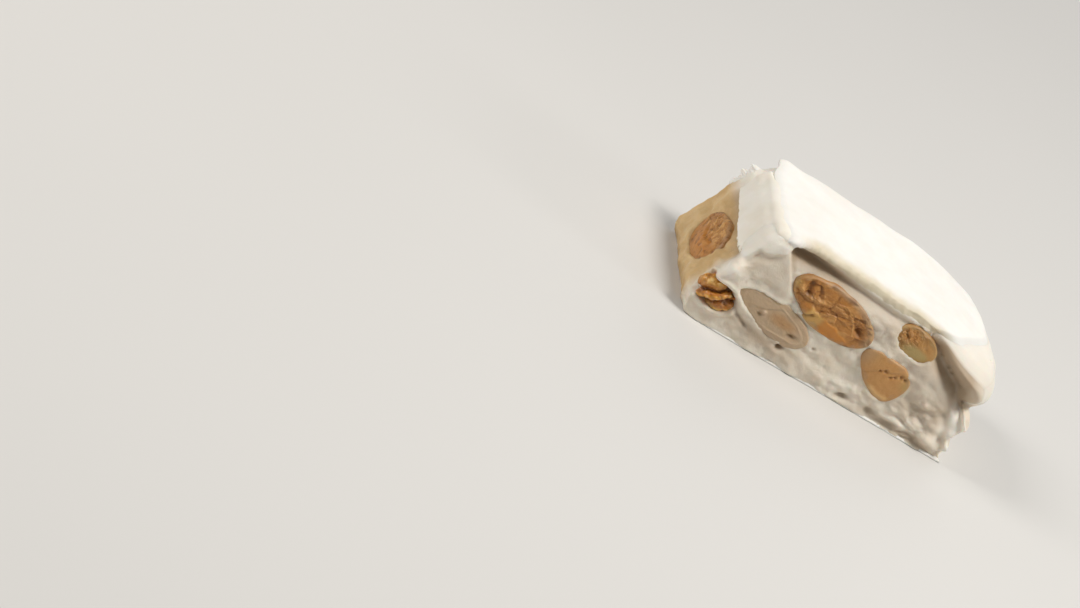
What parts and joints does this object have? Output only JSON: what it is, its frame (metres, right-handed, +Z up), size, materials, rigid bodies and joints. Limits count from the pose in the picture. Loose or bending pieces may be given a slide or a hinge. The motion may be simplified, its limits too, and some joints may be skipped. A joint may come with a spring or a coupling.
{
  "type": "nougat slice",
  "caption": "Knife-cut slice of soft white nougat with whole and broken almonds, pressed between two thin sheets of edible wafer, one end rolled over.",
  "frame": {"origin": "middle of the slice's bounding box, on the underside of the lower wafer", "axes": "+X along the slice towards its rounded end, -Y out of the knife-cut front face, +Z up"},
  "size_m": [0.0699, 0.0376, 0.0273],
  "materials": {
    "nougat": "matt chewy cream-white nougat, knife-cut and slightly porous",
    "wafer": "matt off-white edible wafer",
    "almond_pale": "blanched almond under a thin film of nougat",
    "almond_tan": "smooth cut face of a lightly roasted almond",
    "almond_roasted": "rough broken face of a roasted almond",
    "nut_caramel": "dark caramelised nut, slightly glossy"
  },
  "bodies": {
    "root": {"nougat": "nougat", "wafer_top": "wafer", "wafer_bottom": "wafer", "almond_pale": "almond_pale", "almond_roasted": "almond_roasted", "almond_upper": "almond_tan", "almond_lower": "almond_tan", "almond_end": "almond_roasted", "almond_right": "almond_roasted", "almond_back_left": "almond_roasted", "almond_back_low": "almond_pale", "almond_back_high": "almond_tan", "almond_back_middle": "almond_roasted", "almond_back_right": "almond_tan", "nut_corner": "nut_caramel"}
  },
  "joints": []
}
